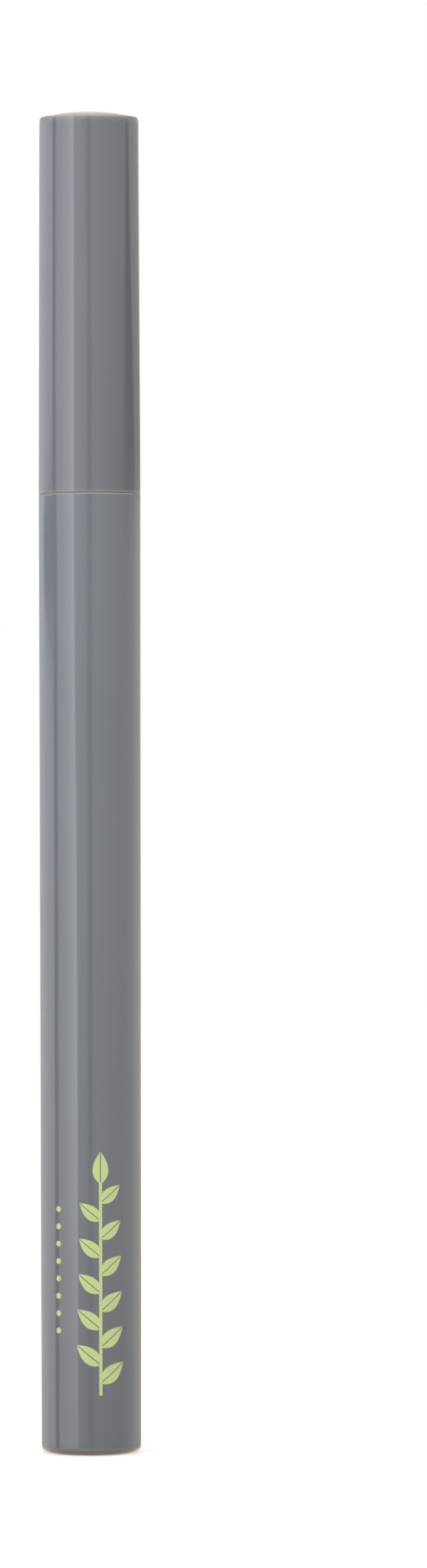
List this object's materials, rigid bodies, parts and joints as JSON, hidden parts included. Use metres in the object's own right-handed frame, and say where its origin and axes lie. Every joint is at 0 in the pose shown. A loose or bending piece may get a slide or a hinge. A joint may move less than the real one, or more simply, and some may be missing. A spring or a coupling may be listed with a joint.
{
  "type": "eyebrow pen",
  "caption": "Slim liquid eyebrow pen with a tapered brush tip, fibre reservoir and pull-off cap with a sprung inner cap, standing on its flat foot.",
  "frame": {"origin": "centre of the flat foot of the barrel, on the surface that the pen stands on", "axes": "+Z along the pen, from the foot towards the cap's closed end; -Y is the side that faces the camera in the picture"},
  "size_m": [0.0108, 0.0108, 0.1419],
  "materials": {
    "grey_plastic": "satin moulded polypropylene",
    "white_plastic": "natural moulded polyethylene",
    "brush_fibre": "tapered filaments, stained brown",
    "feed_fibre": "pressed porous fibre",
    "reservoir_fibre": "loose bundled fibre, soaked",
    "clear_film": "thin clear film",
    "spring_steel": "drawn stainless wire"
  },
  "bodies": {
    "pen_body": {"barrel": "grey_plastic", "front_section": "grey_plastic", "tip_holder": "grey_plastic", "nib_retainer": "white_plastic", "brush_nib": "brush_fibre", "feed_core": "feed_fibre", "reservoir_core": "reservoir_fibre", "reservoir_film": "clear_film"},
    "cap": {"cap_shell": "grey_plastic", "inner_cap_spring": "spring_steel"},
    "sealing_cup": {"inner_cap": "white_plastic"}
  },
  "joints": [
    {"name": "cap_slide", "type": "slide", "parent": "pen_body", "child": "cap", "axis": [0, 0, 1], "range_m": [0, 0.04]},
    {"name": "inner_cap_slide", "type": "slide", "parent": "cap", "child": "sealing_cup", "axis": [0, 0, -1], "range_m": [0, 0.0012], "deforming": ["inner_cap_spring"]}
  ],
  "couplings": [
    {"joint": "inner_cap_slide", "follows": "cap_slide", "ratio": 0.03}
  ]
}
